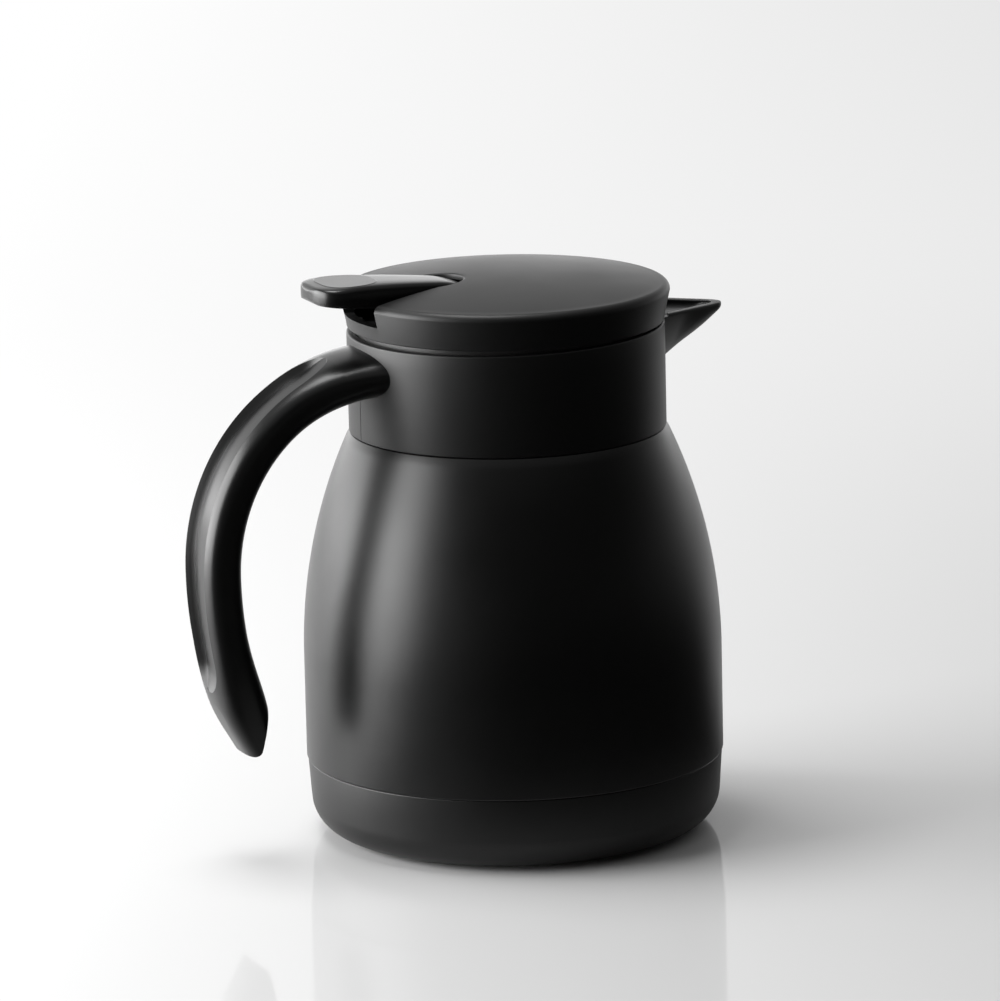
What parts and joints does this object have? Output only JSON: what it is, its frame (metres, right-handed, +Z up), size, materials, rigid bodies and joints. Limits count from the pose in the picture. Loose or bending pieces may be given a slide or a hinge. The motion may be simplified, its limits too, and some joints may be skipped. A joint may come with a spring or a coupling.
{
  "type": "thermal carafe",
  "caption": "Double-walled thermal carafe with a pouring beak, C-shaped handle and a lift-off lid whose thumb lever opens a sprung valve.",
  "frame": {"origin": "on the table, under the flask's axis, in the plane of the foot ring's underside", "axes": "+Z up along the flask's axis, +X towards the pouring beak, -X towards the handle, Y across"},
  "size_m": [0.1626, 0.1202, 0.1633],
  "materials": {
    "black_steel": "fine matte black powder coat on steel",
    "steel": "bare stainless steel, satin",
    "getter_metal": "dull sintered metal",
    "black_base": "matte black moulded plastic",
    "foot_rubber": "matte black non-slip rubber",
    "silicone": "translucent milky silicone",
    "black_plastic": "fine-textured matte black plastic",
    "gloss_black": "satin to semi-gloss black plastic",
    "screw_steel": "plated steel",
    "stopper_plastic": "dark satin plastic",
    "foam": "rigid white foam",
    "natural_plastic": "natural off-white plastic",
    "pin_steel": "drawn stainless steel",
    "spring_steel": "stainless spring wire"
  },
  "bodies": {
    "vessel": {"outer_shell": "black_steel", "inner_liner": "steel", "shell_bottom": "steel", "vacuum_cap": "steel", "getter": "getter_metal", "base_cap": "black_base", "foot_ring": "foot_rubber", "clamp_ring": "steel", "mouth_gasket": "silicone", "neck_collar": "black_plastic", "handle": "gloss_black", "handle_screws": "screw_steel"},
    "seals": {"rim_gasket": "silicone", "stopper_gasket": "silicone"},
    "lid": {"stopper_body": "stopper_plastic", "chamber_tube": "stopper_plastic", "stopper_cup": "stopper_plastic", "stopper_insulation": "foam", "lever_frame": "stopper_plastic", "guide_bush": "natural_plastic", "frame_screws": "screw_steel", "lid_cover": "black_plastic", "lever_pin": "pin_steel"},
    "lever": {"thumb_lever": "gloss_black"},
    "valve": {"valve_stem": "pin_steel", "valve_head": "natural_plastic", "valve_seal": "silicone", "stem_cap": "natural_plastic", "valve_spring": "spring_steel"}
  },
  "joints": [
    {"name": "lid_lift", "type": "slide", "parent": "vessel", "child": "seals", "axis": [0, 0, 1], "range_m": [0, 0.045]},
    {"name": "lid_turn", "type": "hinge", "parent": "seals", "child": "lid", "pos_m": [0, 0, 0.14], "axis": [0, 0, 1], "range_deg": [0, 90]},
    {"name": "lever_press", "type": "hinge", "parent": "lid", "child": "lever", "pos_m": [-0.026, 0, 0.1535], "axis": [0, -1, 0], "range_deg": [0, 9], "stiffness_Nm_per_rad": 0.2, "springref_deg": -22.92},
    {"name": "valve_lift", "type": "slide", "parent": "lid", "child": "valve", "axis": [0, 0, 1], "range_m": [0, 0.00408], "deforming": ["valve_spring"]}
  ],
  "couplings": [
    {"joint": "lever_press", "follows": "valve_lift", "rad_per_m": 38.5}
  ]
}
